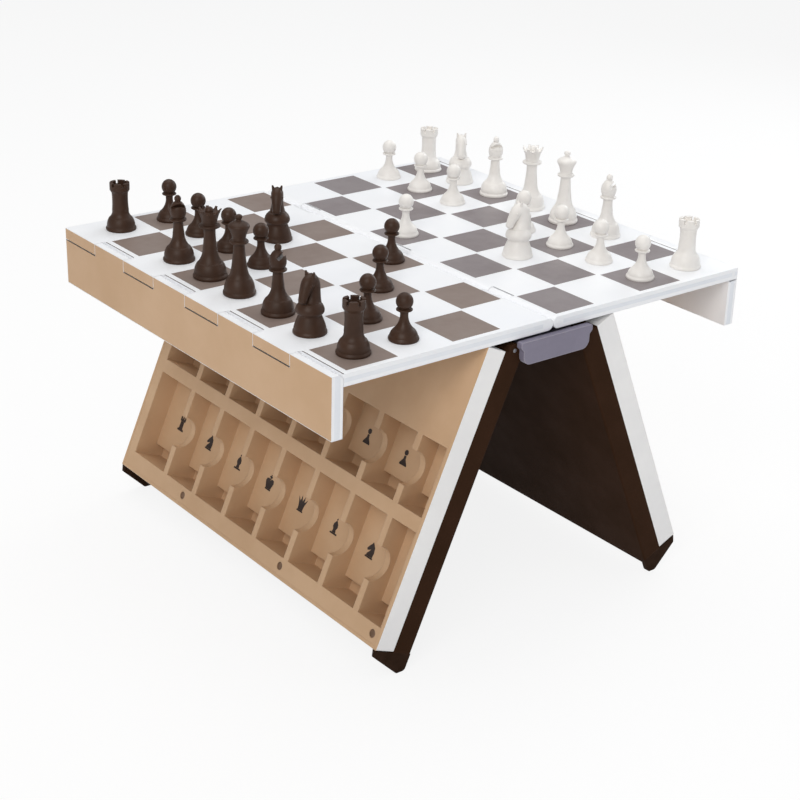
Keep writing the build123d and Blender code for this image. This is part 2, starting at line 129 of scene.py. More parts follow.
def moulded_surface_group():
    """Cloudy colour, uneven gloss, fine moulded grain and eased edges, lighter at the edges by wear and
    painted highlight, for plastic and painted board.
    """
    tree, given, made = new_group(
        "moulded surface",
        [
            ("Colour", "NodeSocketColor", (0.8, 0.8, 0.8, 1)),
            ("Cloud Colour", "NodeSocketColor", (0.7, 0.7, 0.7, 1)),
            ("Edge Colour", "NodeSocketColor", (0.9, 0.9, 0.9, 1)),
            ("Cloud Scale", "NodeSocketFloat", 40.0),
            ("Grain Scale", "NodeSocketFloat", 2500.0),
            ("Grain Height", "NodeSocketFloat", 0.00003),
            ("Gloss Level", "NodeSocketFloat", 0.4),
            ("Gloss Drift", "NodeSocketFloat", 0.12),
            ("Edge Ease", "NodeSocketFloat", 0.0005),
            ("Edge Wear", "NodeSocketFloat", 0.2),
        ],
        [("Colour", "NodeSocketColor"), ("Roughness", "NodeSocketFloat"), ("Normal", "NodeSocketVector")],
    )
    add, link = tree.nodes.new, tree.links.new
    place = add("ShaderNodeTexCoord")
    cloud = add("ShaderNodeTexNoise")
    cloud.inputs["Detail"].default_value = 4
    cloud.inputs["Roughness"].default_value = 0.6
    link(place.outputs["Object"], cloud.inputs["Vector"])
    link(given.outputs["Cloud Scale"], cloud.inputs["Scale"])
    spread = add("ShaderNodeMapRange")
    spread.inputs["From Min"].default_value = 0.35
    spread.inputs["From Max"].default_value = 0.65
    link(cloud.outputs["Fac"], spread.inputs["Value"])
    mixed = add("ShaderNodeMix")
    mixed.data_type = "RGBA"
    link(spread.outputs["Result"], mixed.inputs["Factor"])
    link(given.outputs["Colour"], mixed.inputs["A"])
    link(given.outputs["Cloud Colour"], mixed.inputs["B"])
    eased = add("ShaderNodeBevel")
    eased.samples = 6
    link(given.outputs["Edge Ease"], eased.inputs["Radius"])
    face = add("ShaderNodeNewGeometry")
    bend = add("ShaderNodeVectorMath")
    bend.operation = "DOT_PRODUCT"
    link(eased.outputs["Normal"], bend.inputs[0])
    link(face.outputs["Normal"], bend.inputs[1])
    edge = add("ShaderNodeMapRange")
    edge.inputs["From Min"].default_value = 1.0
    edge.inputs["From Max"].default_value = 0.75
    link(bend.outputs["Value"], edge.inputs["Value"])
    # Edges lighter towards the Edge Colour: partly wear, partly a painted highlight on the rounded edges
    wear_and_highlight_share = add("ShaderNodeMath")
    wear_and_highlight_share.operation = "MULTIPLY"
    link(edge.outputs["Result"], wear_and_highlight_share.inputs[0])
    link(given.outputs["Edge Wear"], wear_and_highlight_share.inputs[1])
    worn_and_highlighted_edge = add("ShaderNodeMix")
    worn_and_highlighted_edge.data_type = "RGBA"
    link(wear_and_highlight_share.outputs["Value"], worn_and_highlighted_edge.inputs["Factor"])
    link(mixed.outputs["Result"], worn_and_highlighted_edge.inputs["A"])
    link(given.outputs["Edge Colour"], worn_and_highlighted_edge.inputs["B"])
    link(worn_and_highlighted_edge.outputs["Result"], made.inputs["Colour"])
    drift = add("ShaderNodeMath")
    drift.operation = "MULTIPLY_ADD"
    link(spread.outputs["Result"], drift.inputs[0])
    link(given.outputs["Gloss Drift"], drift.inputs[1])
    link(given.outputs["Gloss Level"], drift.inputs[2])
    link(drift.outputs["Value"], made.inputs["Roughness"])
    grain = add("ShaderNodeTexNoise")
    grain.inputs["Detail"].default_value = 2
    link(place.outputs["Object"], grain.inputs["Vector"])
    link(given.outputs["Grain Scale"], grain.inputs["Scale"])
    bump = add("ShaderNodeBump")
    link(given.outputs["Grain Height"], bump.inputs["Distance"])
    link(grain.outputs["Fac"], bump.inputs["Height"])
    link(eased.outputs["Normal"], bump.inputs["Normal"])
    link(bump.outputs["Normal"], made.inputs["Normal"])
    return tree


MOULDED = moulded_surface_group()


def finish_material(name, colour, cloud, edge, **settings):
    """A material on the moulded surface; colours are linear."""
    material = bpy.data.materials.new(name)
    material.use_nodes = True
    tree = material.node_tree
    shader = tree.nodes["Principled BSDF"]
    surface = tree.nodes.new("ShaderNodeGroup")
    surface.node_tree = MOULDED
    surface.inputs["Colour"].default_value = (*colour, 1)
    surface.inputs["Cloud Colour"].default_value = (*cloud, 1)
    surface.inputs["Edge Colour"].default_value = (*edge, 1)
    shader.inputs["Metallic"].default_value = settings.pop("metallic", 0.0)
    shader.inputs["Specular IOR Level"].default_value = settings.pop("specular", 0.5)
    for label, value in settings.items():
        surface.inputs[label.replace("_", " ").title()].default_value = value
    tree.links.new(surface.outputs["Colour"], shader.inputs["Base Color"])
    tree.links.new(surface.outputs["Roughness"], shader.inputs["Roughness"])
    tree.links.new(surface.outputs["Normal"], shader.inputs["Normal"])
    return material


def srgb(red, green, blue):
    """A screen colour of 0 to 255 as linear light, by the sRGB curve."""
    shares = [value / 255 for value in (red, green, blue)]
    return tuple(s / 12.92 if s <= 0.04045 else ((s + 0.055) / 1.055) ** 2.4 for s in shares)


WHITE_BOARD = finish_material(
    "white board", srgb(247, 248, 250), srgb(241, 243, 247), srgb(252, 252, 253),
    cloud_scale=9, grain_scale=1800, grain_height=0.00002,
    gloss_level=0.34, gloss_drift=0.1, edge_wear=0.3,
)
DARK_SQUARE = finish_material(
    "taupe squares", srgb(138, 123, 115), srgb(128, 112, 104), srgb(147, 133, 125),
    cloud_scale=30, grain_scale=1500, grain_height=0.00003,
    gloss_level=0.36, gloss_drift=0.14, edge_ease=0.0002,
)
# A cooler, greyer copy of the taupe for the right leaf's squares: painted sheen
SHEEN_TINTED_SQUARE = finish_material(
    "taupe squares with painted sheen", srgb(138, 130, 131), srgb(128, 119, 120), srgb(147, 139, 140),
    cloud_scale=30, grain_scale=1500, grain_height=0.00003,
    gloss_level=0.36, gloss_drift=0.14, edge_ease=0.0002,
)
TAN = finish_material(
    "tan tray", srgb(202, 168, 133), srgb(194, 159, 124), srgb(214, 184, 151),
    cloud_scale=25, grain_scale=1600, grain_height=0.00004,
    gloss_level=0.5, gloss_drift=0.12, edge_ease=0.0007, edge_wear=0.5,
)
TAN_FACING = finish_material(
    "tan facing", srgb(202, 167, 131), srgb(196, 161, 125), srgb(214, 184, 151),
    cloud_scale=18, grain_scale=1600, grain_height=0.00004,
    gloss_level=0.46, gloss_drift=0.12, edge_ease=0.0001,
)
COVER_BROWN = finish_material(
    "brown cover", srgb(56, 36, 24), srgb(51, 33, 21), srgb(82, 58, 44),
    cloud_scale=35, grain_scale=900, grain_height=0.00012,
    gloss_level=0.56, gloss_drift=0.08, edge_ease=0.0008, edge_wear=0.5, specular=0.02,
)
FRAME_WHITE = finish_material(
    "white frame", srgb(242, 241, 240), srgb(235, 234, 234), srgb(250, 247, 241),
    cloud_scale=20, grain_scale=1500, grain_height=0.00003,
    gloss_level=0.42, gloss_drift=0.1, edge_wear=0.4,
)
# The spine's pale rim along its edges is a painted highlight, from a strong edge share and a light edge
# colour
SPINE_GREY = finish_material(
    "lavender grey spine", srgb(128, 123, 141), srgb(119, 114, 131), srgb(186, 180, 190),
    cloud_scale=30, grain_scale=1400, grain_height=0.00004,
    gloss_level=0.42, gloss_drift=0.1, edge_ease=0.0007, edge_wear=0.9,
)
LINER_GREY = finish_material(
    "pale liner", srgb(222, 222, 226), srgb(212, 212, 217), srgb(232, 232, 236),
    cloud_scale=25, grain_scale=2200, grain_height=0.00005,
    gloss_level=0.6, gloss_drift=0.1,
)
EDGE_BAND = finish_material(
    "pale edge band", srgb(236, 239, 244), srgb(229, 233, 239), srgb(243, 245, 248),
    cloud_scale=40, grain_scale=1800, grain_height=0.00003,
    gloss_level=0.4, gloss_drift=0.1, edge_ease=0.0001,
)
STEEL = finish_material(
    "plain steel", srgb(172, 172, 174), srgb(150, 150, 153), srgb(205, 205, 206),
    cloud_scale=200, grain_scale=3500, grain_height=0.00001,
    gloss_level=0.28, gloss_drift=0.15, metallic=1.0,
)
MAGNET = finish_material(
    "dull magnet", srgb(134, 106, 84), srgb(112, 86, 66), srgb(160, 132, 108),
    cloud_scale=400, grain_scale=3000, grain_height=0.00002,
    gloss_level=0.4, gloss_drift=0.15, metallic=0.4,
)
RUBBER = finish_material(
    "rubber foot", srgb(50, 33, 23), srgb(43, 28, 18), srgb(70, 50, 39),
    cloud_scale=120, grain_scale=1200, grain_height=0.00008,
    gloss_level=0.62, gloss_drift=0.1, specular=0.04,
)
# Colour of the dark chess pieces; the same dark also paints the shade in the seams by the flap's knuckles
DARK_PIECE_AND_SEAM_SHADE = finish_material(
    "dark chess pieces and painted seam shade", srgb(67, 46, 34), srgb(58, 39, 28), srgb(94, 71, 57),
    cloud_scale=90, grain_scale=2200, grain_height=0.00003,
    gloss_level=0.36, gloss_drift=0.14, edge_ease=0.0004, edge_wear=0.4, specular=0.22,
)
WHITE_PIECE = finish_material(
    "white chess pieces", srgb(243, 240, 236), srgb(236, 232, 227), srgb(250, 248, 245),
    cloud_scale=90, grain_scale=2200, grain_height=0.00002,
    gloss_level=0.34, gloss_drift=0.12, edge_ease=0.0004, edge_wear=0.3,
)
# Dark print of the icons; the same dark also paints the shade in the slits under the leaf's fingers
ICON_INK_AND_SLIT_SHADE = finish_material(
    "dark icons and painted slit shade", srgb(46, 32, 26), srgb(38, 26, 21), srgb(60, 44, 37),
    cloud_scale=200, grain_scale=3000, grain_height=0.00001,
    gloss_level=0.45, gloss_drift=0.1, edge_ease=0.0001,
)

# Finishes of the CAD nodes, named without their side; chess pieces follow their colour
NODE_FINISH = {
    "spine_bar": SPINE_GREY,
    "spine_end_caps": SPINE_GREY,
    "fold_brackets": WHITE_BOARD,
    "hinge_pins": STEEL,
    "cover": COVER_BROWN,
    "tray_frame": FRAME_WHITE,
    "tray_insert": TAN,
    "tray_magnets": MAGNET,
    "feet": RUBBER,
    "board_leaf": WHITE_BOARD,
    "dark_squares": DARK_SQUARE,
    "steel_sheet": STEEL,
    "leaf_liner": LINER_GREY,
    "flap_pin": STEEL,
    "flap": WHITE_BOARD,
    "flap_facing": TAN,
}


def finish_nodes():
    """Gives every CAD node its finish."""
    for name, node in nodes.items():
        bare = name.removeprefix("left_").removeprefix("right_")
        finish = NODE_FINISH.get(bare)
        if finish is None:
            finish = DARK_PIECE_AND_SEAM_SHADE if name.startswith("dark_") else WHITE_PIECE
        # The right leaf's dark squares take the cooler copy of the taupe, a painted sheen
        if name == "right_dark_squares":
            finish = SHEEN_TINTED_SQUARE
        for place in node.material_slots:
            place.material = finish


finish_nodes()


# Making new pieces
def solid_from(shape, name, finish, body):
    """Turns a bmesh into a piece that rides on a body."""
    bmesh.ops.remove_doubles(shape, verts=shape.verts, dist=1e-7)
    bmesh.ops.recalc_face_normals(shape, faces=shape.faces)
    mesh = bpy.data.meshes.new(name)
    shape.to_mesh(mesh)
    shape.free()
    mesh.materials.append(finish)
    piece = bpy.data.objects.new(name, mesh)
    bpy.context.scene.collection.objects.link(piece)
    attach(piece, body)
    return piece


def plate(shape, corners, lift):
    """Adds a flat outline to the shape and draws it out along a vector."""
    face = shape.faces.new([shape.verts.new(corner) for corner in corners])
    drawn = bmesh.ops.extrude_face_region(shape, geom=[face])
    moved = [part for part in drawn["geom"] if isinstance(part, bmesh.types.BMVert)]
    bmesh.ops.translate(shape, verts=moved, vec=lift)


def across(x, y0, y1, z0, z1):
    """The corners of an upright rectangle that faces along X."""
    return [(x, y0, z0), (x, y1, z0), (x, y1, z1), (x, y0, z1)]


def endwise(y, x0, x1, z0, z1):
    """The corners of an upright rectangle that faces along Y."""
    return [(x0, y, z0), (x1, y, z0), (x1, y, z1), (x0, y, z1)]


DOWN_LEG = Vector((-math.sin(LEAN), 0, -math.cos(LEAN)))
OUT_OF_TRAY = Vector((-math.cos(LEAN), 0, math.sin(LEAN)))


def on_tray(down, along, level):
    """A point of the left tray: distance down the leg, place along the fold and level over the hinge."""
    return LEG_HINGE + DOWN_LEG * down + OUT_OF_TRAY * level + Vector((0, along, 0))


# Pieces are drawn on the left and turned about Z for the right
SIDES = {"left": Matrix.Identity(4), "right": Matrix.Rotation(math.pi, 4, "Z")}


def knuckle_rows(first):
    """Where every second knuckle lies along Y, from the row given."""
    rows = []
    for row in range(first, RANKS, 2):
        low = -HALF_LENGTH if row == 0 else (row - RANKS / 2) * SQUARE + SEAM_GAP
        high = HALF_LENGTH if row == RANKS - 1 else (row + 1 - RANKS / 2) * SQUARE - SEAM_GAP
        rows.append((low, high))
    return rows


def flap_facing(side, turn):
    """A flap's tan facing: a sheet in its pocket under a thin skin that runs up over the knuckles."""
    shape = bmesh.new()
    low = FLAP_EDGE + FACING_EDGE
    seam, top = TABLE - THICK - SLIT_FOOT, TABLE - SKIN_TOP
    reach = HALF_LENGTH - END_INSET
    back, front = FLAP_FACE + FACING_DEPTH, FLAP_FACE + SKIN_SUNK
    plate(shape, across(back, -reach, reach, low, TABLE - POCKET_TOP), (front - back, 0, 0))
    corners = [(front, -reach, low)]
    for start, stop in knuckle_rows(0):
        start, stop = max(start + KNUCKLE_INSET, -reach), min(stop - KNUCKLE_INSET, reach)
        if start > -reach:
            corners += [(front, start, seam)]
        corners += [(front, start, top), (front, stop, top), (front, stop, seam)]
    corners += [(front, reach, seam), (front, reach, low)]
    plate(shape, corners, (-SKIN_PROUD - SKIN_SUNK, 0, 0))
    bmesh.ops.transform(shape, matrix=turn, verts=shape.verts)
    piece = solid_from(shape, f"{side}_tan_facing", TAN_FACING, f"{side}_flap_body")
    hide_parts(f"{side}_flap_facing")


def finger_skins(side, turn):
    """Tan skins on the leaf's fingers, so that the flap's face runs on."""
    shape = bmesh.new()
    x, bottom, top = FLAP_FACE + SKIN_SUNK, TABLE - THICK + SKIN_FOOT, TABLE - SKIN_TOP
    for low, high in knuckle_rows(1):
        inset = END_INSET if high == HALF_LENGTH else SKIN_SIDE
        corners = across(x, low + SKIN_SIDE, high - inset, bottom, top)
        plate(shape, corners, (-SKIN_PROUD - SKIN_SUNK, 0, 0))
    bmesh.ops.transform(shape, matrix=turn, verts=shape.verts)
    solid_from(shape, f"{side}_finger_skins", TAN_FACING, f"{side}_leaf")


def slit_shadows(side, turn):
    """Dark strips of painted shade on the flap's face, along the slits under the leaf's fingers."""
    shape = bmesh.new()
    x, bottom, top = FLAP_FACE + SKIN_SUNK, TABLE - THICK - SLIT_FOOT, TABLE - THICK - SLIT_TOP
    for low, high in knuckle_rows(1):
        high = min(high, HALF_LENGTH - END_INSET)
        plate(shape, across(x, low, high, bottom, top), (-SLIT_DEPTH, 0, 0))
    bmesh.ops.transform(shape, matrix=turn, verts=shape.verts)
    solid_from(shape, f"{side}_slit_shadows", ICON_INK_AND_SLIT_SHADE, f"{side}_flap_body")


def rim_skin(side, turn):
    """A tan skin on the four sides of the rim round a tray."""
    shape = bmesh.new()
    reach = HALF_LENGTH - RIM_INSET
    inner_start, inner_end, inner_reach = RIM_START + RIM_WIDTH, RIM_END - RIM_WIDTH, reach - RIM_WIDTH
    strips = [
        (RIM_START, inner_start, -reach, reach),
        (inner_end, RIM_END, -reach, reach),
        (inner_start, inner_end, -reach, -inner_reach),
        (inner_start, inner_end, inner_reach, reach),
    ]
    for start, stop, near, far in strips:
        spots = [(start, near), (stop, near), (stop, far), (start, far)]
        plate(shape, [on_tray(down, along, TRAY_RIM) for down, along in spots], OUT_OF_TRAY * RIM_SKIN)
    bmesh.ops.transform(shape, matrix=turn, verts=shape.verts)
    solid_from(shape, f"{side}_rim_skin", TAN_FACING, f"{side}_leg")


def edge_bands(side, turn):
    """Pale bands on the end faces of a leaf and its flap, whose last knuckle is at the near end."""
    leaf, flap = bmesh.new(), bmesh.new()
    ends = ((-1, BAND_NEAR_START, FLAP_BAND_NEAR_TOP), (1, BAND_FAR_START, FLAP_BAND_FAR_TOP))
    for end, leaf_start, flap_drop in ends:
        y = end * (HALF_LENGTH - BAND_SUNK)
        lift = (0, end * BAND_DEPTH, 0)
        plate(leaf, endwise(y, leaf_start, BAND_STOP, TABLE - BAND_LOW, TABLE - BAND_HIGH), lift)
        start, stop = FLAP_FACE + FLAP_BAND_START, FLAP_FACE + FLAP_BAND_STOP
        plate(flap, endwise(y, start, stop, FLAP_EDGE + END_INSET, TABLE - flap_drop), lift)
    for shape, part, body in ((leaf, "leaf", f"{side}_leaf"), (flap, "flap", f"{side}_flap_body")):
        bmesh.ops.transform(shape, matrix=turn, verts=shape.verts)
        solid_from(shape, f"{side}_{part}_edge_bands", EDGE_BAND, body)


def seam_shade_lines(side, turn):
    """Fine dark lines of painted shade on the leaf, along the seams by the flap's knuckles."""
    shape = bmesh.new()
    inner = SEAM_EDGE + SEAM_WIDTH
    for low, high in knuckle_rows(0):
        low, high = low + SEAM_INSET, high - SEAM_INSET
        spots = [(SEAM_EDGE, low), (inner, low), (inner, high), (SEAM_EDGE, high)]
        plate(shape, [(x, y, TABLE) for x, y in spots], (0, 0, SEAM_HEIGHT))
    bmesh.ops.transform(shape, matrix=turn, verts=shape.verts)
    solid_from(shape, f"{side}_seam_shade_lines", DARK_PIECE_AND_SEAM_SHADE, f"{side}_leaf")


def pin_plugs():
    """White plugs over the open ends of the right side's pin bores."""
    shape = bmesh.new()
    for fold in PLUG_FOLDS:
        middle = Vector(joints[fold]["pos_m"]) + Vector((0, PLUG_INSET - HALF_LENGTH, 0))
        place = Matrix.Translation(middle) @ Matrix.Rotation(math.pi / 2, 4, "X")
        bmesh.ops.create_cone(
            shape, cap_ends=True, cap_tris=False, segments=PLUG_SIDES,
            radius1=PLUG_RADIUS, radius2=PLUG_RADIUS, depth=PLUG_DEPTH, matrix=place,
        )
    solid_from(shape, "right_pin_plugs", WHITE_BOARD, "right_leaf")


pin_plugs()
for side, turn in SIDES.items():
    flap_facing(side, turn)
    finger_skins(side, turn)
    slit_shadows(side, turn)
    rim_skin(side, turn)
    edge_bands(side, turn)
    seam_shade_lines(side, turn)


# Icons on the compartment floors, drawn with X to the right and Y up, in shares of their height
PAWN_ICON = [
    [(-0.32, -0.5), (0.32, -0.5), (0.30, -0.40), (0.10, -0.12),
     (0.08, 0.08), (-0.08, 0.08), (-0.10, -0.12), (-0.30, -0.40)],
    [(-0.17, 0.27), (-0.12, 0.39), (0.0, 0.44), (0.12, 0.39),
     (0.17, 0.27), (0.12, 0.15), (0.0, 0.10), (-0.12, 0.15)],
]
ROOK_ICON = [
    [(-0.34, -0.5), (0.34, -0.5), (0.34, -0.40), (0.20, -0.32),
     (0.17, 0.14), (-0.17, 0.14), (-0.20, -0.32), (-0.34, -0.40)],
    [(-0.28, 0.15), (0.28, 0.15), (0.28, 0.46), (0.15, 0.46), (0.15, 0.32), (0.07, 0.32),
     (0.07, 0.46), (-0.07, 0.46), (-0.07, 0.32), (-0.15, 0.32), (-0.15, 0.46), (-0.28, 0.46)],
]
KNIGHT_ICON = [
    [(-0.34, -0.5), (0.34, -0.5), (0.34, -0.40), (-0.34, -0.40)],
    [(-0.26, -0.39), (0.28, -0.39), (0.33, -0.10), (0.28, 0.22), (0.12, 0.40),
     (0.02, 0.50), (-0.03, 0.38), (-0.16, 0.26), (-0.34, 0.02), (-0.28, -0.09),
     (-0.14, -0.04), (0.02, 0.05), (-0.10, -0.12), (-0.24, -0.26)],
]
BISHOP_ICON = [
    [(-0.34, -0.5), (0.34, -0.5), (0.32, -0.40), (-0.32, -0.40)],
    [(-0.16, -0.39), (0.16, -0.39), (0.12, -0.20), (0.22, -0.02), (0.18, 0.16),
     (0.03, 0.34), (-0.03, 0.34), (-0.18, 0.16), (-0.22, -0.02), (-0.12, -0.20)],
    [(-0.06, 0.42), (0.0, 0.36), (0.06, 0.42), (0.0, 0.5)],
]
QUEEN_ICON = [
    [(-0.30, -0.5), (0.30, -0.5), (0.28, -0.40), (-0.28, -0.40)],
    [(-0.22, -0.39), (0.22, -0.39), (0.26, -0.10), (0.44, 0.38), (0.20, 0.12), (0.15, 0.48),
     (0.0, 0.14), (-0.15, 0.48), (-0.20, 0.12), (-0.44, 0.38), (-0.26, -0.10)],
]
KING_ICON = [
    [(-0.28, -0.5), (0.28, -0.5), (0.28, -0.40), (-0.28, -0.40)],
    [(-0.24, -0.39), (0.24, -0.39), (0.40, 0.02), (0.34, 0.20), (0.16, 0.24),
     (0.0, 0.12), (-0.16, 0.24), (-0.34, 0.20), (-0.40, 0.02)],
    [(-0.05, 0.16), (0.05, 0.16), (0.05, 0.30), (0.14, 0.30), (0.14, 0.38), (0.05, 0.38),
     (0.05, 0.48), (-0.05, 0.48), (-0.05, 0.38), (-0.14, 0.38), (-0.14, 0.30), (-0.05, 0.30)],
]
BACK_ROW = [
    ROOK_ICON, KNIGHT_ICON, BISHOP_ICON, QUEEN_ICON, KING_ICON, BISHOP_ICON, KNIGHT_ICON, ROOK_ICON,
]
ICON_THICKNESS = 0.15 * MM
ICON_HEIGHT = 10 * MM
ICON_ROWS = [(81.9 * MM, [PAWN_ICON] * RANKS), (139.9 * MM, BACK_ROW)]
FIRST_ICON = -131.2 * MM
ICON_STEP = SQUARE


def tray_icons(side, turn):
    """The chess icons on the floors of a tray, as thin raised plates."""
    shape = bmesh.new()
    for down, icons in ICON_ROWS:
        for place, icon in enumerate(icons):
            along = FIRST_ICON + place * ICON_STEP
            for outline in icon:
                corners = [
                    on_tray(down - y * ICON_HEIGHT, along - x * ICON_HEIGHT, TRAY_FLOOR) for x, y in outline
                ]
                plate(shape, corners, OUT_OF_TRAY * ICON_THICKNESS)
    bmesh.ops.transform(shape, matrix=turn, verts=shape.verts)
    solid_from(shape, f"{side}_tray_icons", ICON_INK_AND_SLIT_SHADE, f"{side}_leg")


for side, turn in SIDES.items():
    tray_icons(side, turn)


# Chess pieces that stand for plainer solids
SHARP_ANGLE = math.radians(40)
LATHE_STEPS = 64


def smooth_rows(rows, steps):
    """Points along a smooth curve through the rows given."""
    made = []
    for place in range(len(rows) - 1):
        before, first = rows[max(place - 1, 0)], rows[place]
        second, after = rows[place + 1], rows[min(place + 2, len(rows) - 1)]
        for step in range(steps):
            s = step / steps
            point = []
            for a, b, c, d in zip(before, first, second, after):
                bend = (2 * a - 5 * b + 4 * c - d) * s * s + (3 * b - a - 3 * c + d) * s ** 3
                point.append(0.5 * (2 * b + (c - a) * s + bend))
            made.append(tuple(point))
    return made + [rows[-1]]


def lathe(shape, outline):
    """Turns an outline of radius and height, in mm, about Z."""
    line = [shape.verts.new((r * MM, 0, z * MM)) for r, z in outline]
    edges = [shape.edges.new(pair) for pair in zip(line, line[1:])]
    bmesh.ops.spin(
        shape, geom=line + edges, cent=(0, 0, 0), axis=(0, 0, 1), dvec=(0, 0, 0), angle=math.tau,
        steps=LATHE_STEPS, use_merge=True, use_normal_flip=False, use_duplicate=False,
    )


def stand_for(shape, name, shape_name, turn, finish):
    """Sets a shape on the square of a plain chess piece, in its place."""
    low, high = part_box(name)
    spot = Matrix.Translation(((low[0] + high[0]) / 2, (low[1] + high[1]) / 2, TABLE))
    bmesh.ops.transform(shape, matrix=spot @ Matrix.Rotation(math.radians(turn), 4, "Z"), verts=shape.verts)
    piece = solid_from(shape, shape_name, finish, f"{name}_body")
    piece.data.shade_smooth()
    piece.data.set_sharp_from_angle(angle=SHARP_ANGLE)
    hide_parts(name)


# Knights: a turned foot with a modelled horse's head, in mm, looking along X
KNIGHT_FOOT = [
    (0, 0), (9.2, 0), (9.4, 0.3), (9.4, 1.3), (9.1, 1.8), (8.9, 2.1), (8.8, 3.2),
    (8.3, 5.0), (7.5, 7.2), (6.8, 9.0), (6.4, 10.0), (6.3, 10.5), (6.5, 10.9), (7.2, 11.4),
    (7.8, 12.3), (7.9, 13.4), (7.6, 14.6), (6.9, 16.0), (5.6, 17.4), (0, 18.0),
]
# Rings of neck and head: middle x and z, heading from straight up, half depth and half width
KNIGHT_RINGS = [
    (-0.2, 13.2, 0, 7.2, 6.8), (-0.8, 16.4, 0, 6.2, 5.4), (-2.0, 19.6, 2, 4.9, 4.2),
    (-2.6, 23.0, 8, 4.4, 3.6), (-2.1, 26.6, 28, 4.5, 3.7), (-0.3, 29.0, 72, 4.3, 3.8),
    (2.3, 27.8, 124, 3.8, 3.6), (4.2, 24.7, 150, 3.1, 3.1), (5.6, 21.7, 157, 2.6, 2.6),
    (6.5, 19.3, 160, 2.3, 2.4), (6.9, 18.3, 160, 1.3, 1.5),
]
# Locks of the mane, in the same way
KNIGHT_MANE = [
    (-5.6, 15.0, 0, 1.6, 1.5), (-5.9, 17.4, -2, 2.3, 1.5), (-6.1, 18.4, -2, 1.7, 1.4),
    (-6.0, 20.8, 2, 2.3, 1.5), (-6.0, 21.8, 4, 1.7, 1.4), (-5.8, 24.2, 10, 2.3, 1.5),
    (-5.6, 25.2, 14, 1.7, 1.4), (-4.7, 27.6, 26, 2.3, 1.5), (-4.1, 28.6, 32, 1.7, 1.4),
    (-2.8, 30.4, 48, 2.2, 1.4), (-2.0, 31.2, 58, 1.6, 1.3), (-0.4, 32.0, 78, 1.6, 1.2),
]
RING_STEPS = 5
HEAD_SIDES = 40
MANE_SIDES = 8

# Ears, eyes and nostrils, in mm
EAR_X, EAR_Y, EAR_Z = 0.3, 2.3, 32.5
EAR_FOOT, EAR_TIP, EAR_LENGTH, EAR_SIDES = 1.5, 0.5, 4.2, 16
EAR_TILT = 7
EYE_X, EYE_Z, EYE_RADIUS, EYE_SPREAD = 2.9, 27.6, 0.75, 1.4
NOSTRIL_X, NOSTRIL_Z, NOSTRIL_RADIUS, NOSTRIL_SPREAD = 7.4, 20.4, 0.55, 0.7
BEAD_COLUMNS, BEAD_ROWS = 16, 10


def tube(shape, rows, sides):
    """A closed body through rings: middle x and z, heading from straight up, half depth and half width."""
    loops = []
    for x, z, heading, depth, width in rows:
        place = Matrix.Translation((x * MM, 0, z * MM)) @ Matrix.Rotation(math.radians(heading), 4, "Y")
        size = Matrix.Diagonal((depth * MM, width * MM, 1, 1))
        made = bmesh.ops.create_circle(shape, cap_ends=False, segments=sides, radius=1, matrix=place @ size)
        # A dict drops the repeats and keeps the order, so that the end caps are the same each run
        loops.append(list(dict.fromkeys(edge for vert in made["verts"] for edge in vert.link_edges)))
    for low, high in zip(loops, loops[1:]):
        bmesh.ops.bridge_loops(shape, edges=low + high)
    for end in (loops[0], loops[-1]):
        bmesh.ops.edgeloop_fill(shape, edges=end)


def bead(shape, x, y, z, radius):
    """A small ball for an eye or a nostril."""
    place = Matrix.Translation((x * MM, y * MM, z * MM))
    bmesh.ops.create_uvsphere(
        shape, u_segments=BEAD_COLUMNS, v_segments=BEAD_ROWS, radius=radius * MM, matrix=place,
    )


def ear(shape, y):
    """One pricked ear."""
    tilt = Matrix.Rotation(math.radians(-EAR_TILT * y), 4, "X")
    bmesh.ops.create_cone(
        shape, cap_ends=True, cap_tris=False, segments=EAR_SIDES, radius1=EAR_FOOT * MM, radius2=EAR_TIP * MM,
        depth=EAR_LENGTH * MM, matrix=Matrix.Translation((EAR_X * MM, y * MM, EAR_Z * MM)) @ tilt,
    )


def knight(name, turn, finish):
    """A carved knight in place of the plain one, turned about its middle."""
    shape = bmesh.new()
    lathe(shape, KNIGHT_FOOT)
    tube(shape, smooth_rows(KNIGHT_RINGS, RING_STEPS), HEAD_SIDES)
    tube(shape, KNIGHT_MANE, MANE_SIDES)
    for y in (-EAR_Y, EAR_Y):
        ear(shape, y)
        bead(shape, EYE_X, EYE_SPREAD * y, EYE_Z, EYE_RADIUS)
        bead(shape, NOSTRIL_X, NOSTRIL_SPREAD * y, NOSTRIL_Z, NOSTRIL_RADIUS)
    stand_for(shape, name, f"{name}_carved", turn, finish)


knight("dark_knight_1", 196, DARK_PIECE_AND_SEAM_SHADE)
knight("dark_knight_2", 232, DARK_PIECE_AND_SEAM_SHADE)
knight("white_knight_1", 165, WHITE_PIECE)
knight("white_knight_2", 232, WHITE_PIECE)

# Kings: a turned outline of radius and height, in mm
KING_OUTLINE = [
    (9.0, 0.0), (9.5, 0.8), (9.35, 2.0), (8.9, 2.7), (8.7, 4.6), (8.0, 7.2), (6.8, 9.6), (6.2, 10.4),
    (5.1, 13.0), (4.3, 17.5), (3.7, 22.5), (3.35, 26.5), (3.3, 29.6), (4.9, 30.3), (5.5, 31.2),
    (4.9, 32.0), (3.9, 32.6), (4.2, 34.8), (5.0, 37.2), (6.0, 39.2), (6.2, 40.2), (5.4, 41.3),
    (3.4, 42.5), (1.9, 43.3), (1.5, 44.0), (2.1, 45.1), (1.9, 46.1), (1.0, 46.7), (0.0, 46.8),
]
KING_STEPS = 4


def king(name, finish):
    """A turned king in place of the plain one."""
    shape = bmesh.new()
    lathe(shape, [(0, 0)] + smooth_rows(KING_OUTLINE, KING_STEPS))
    stand_for(shape, name, f"{name}_turned", 0, finish)


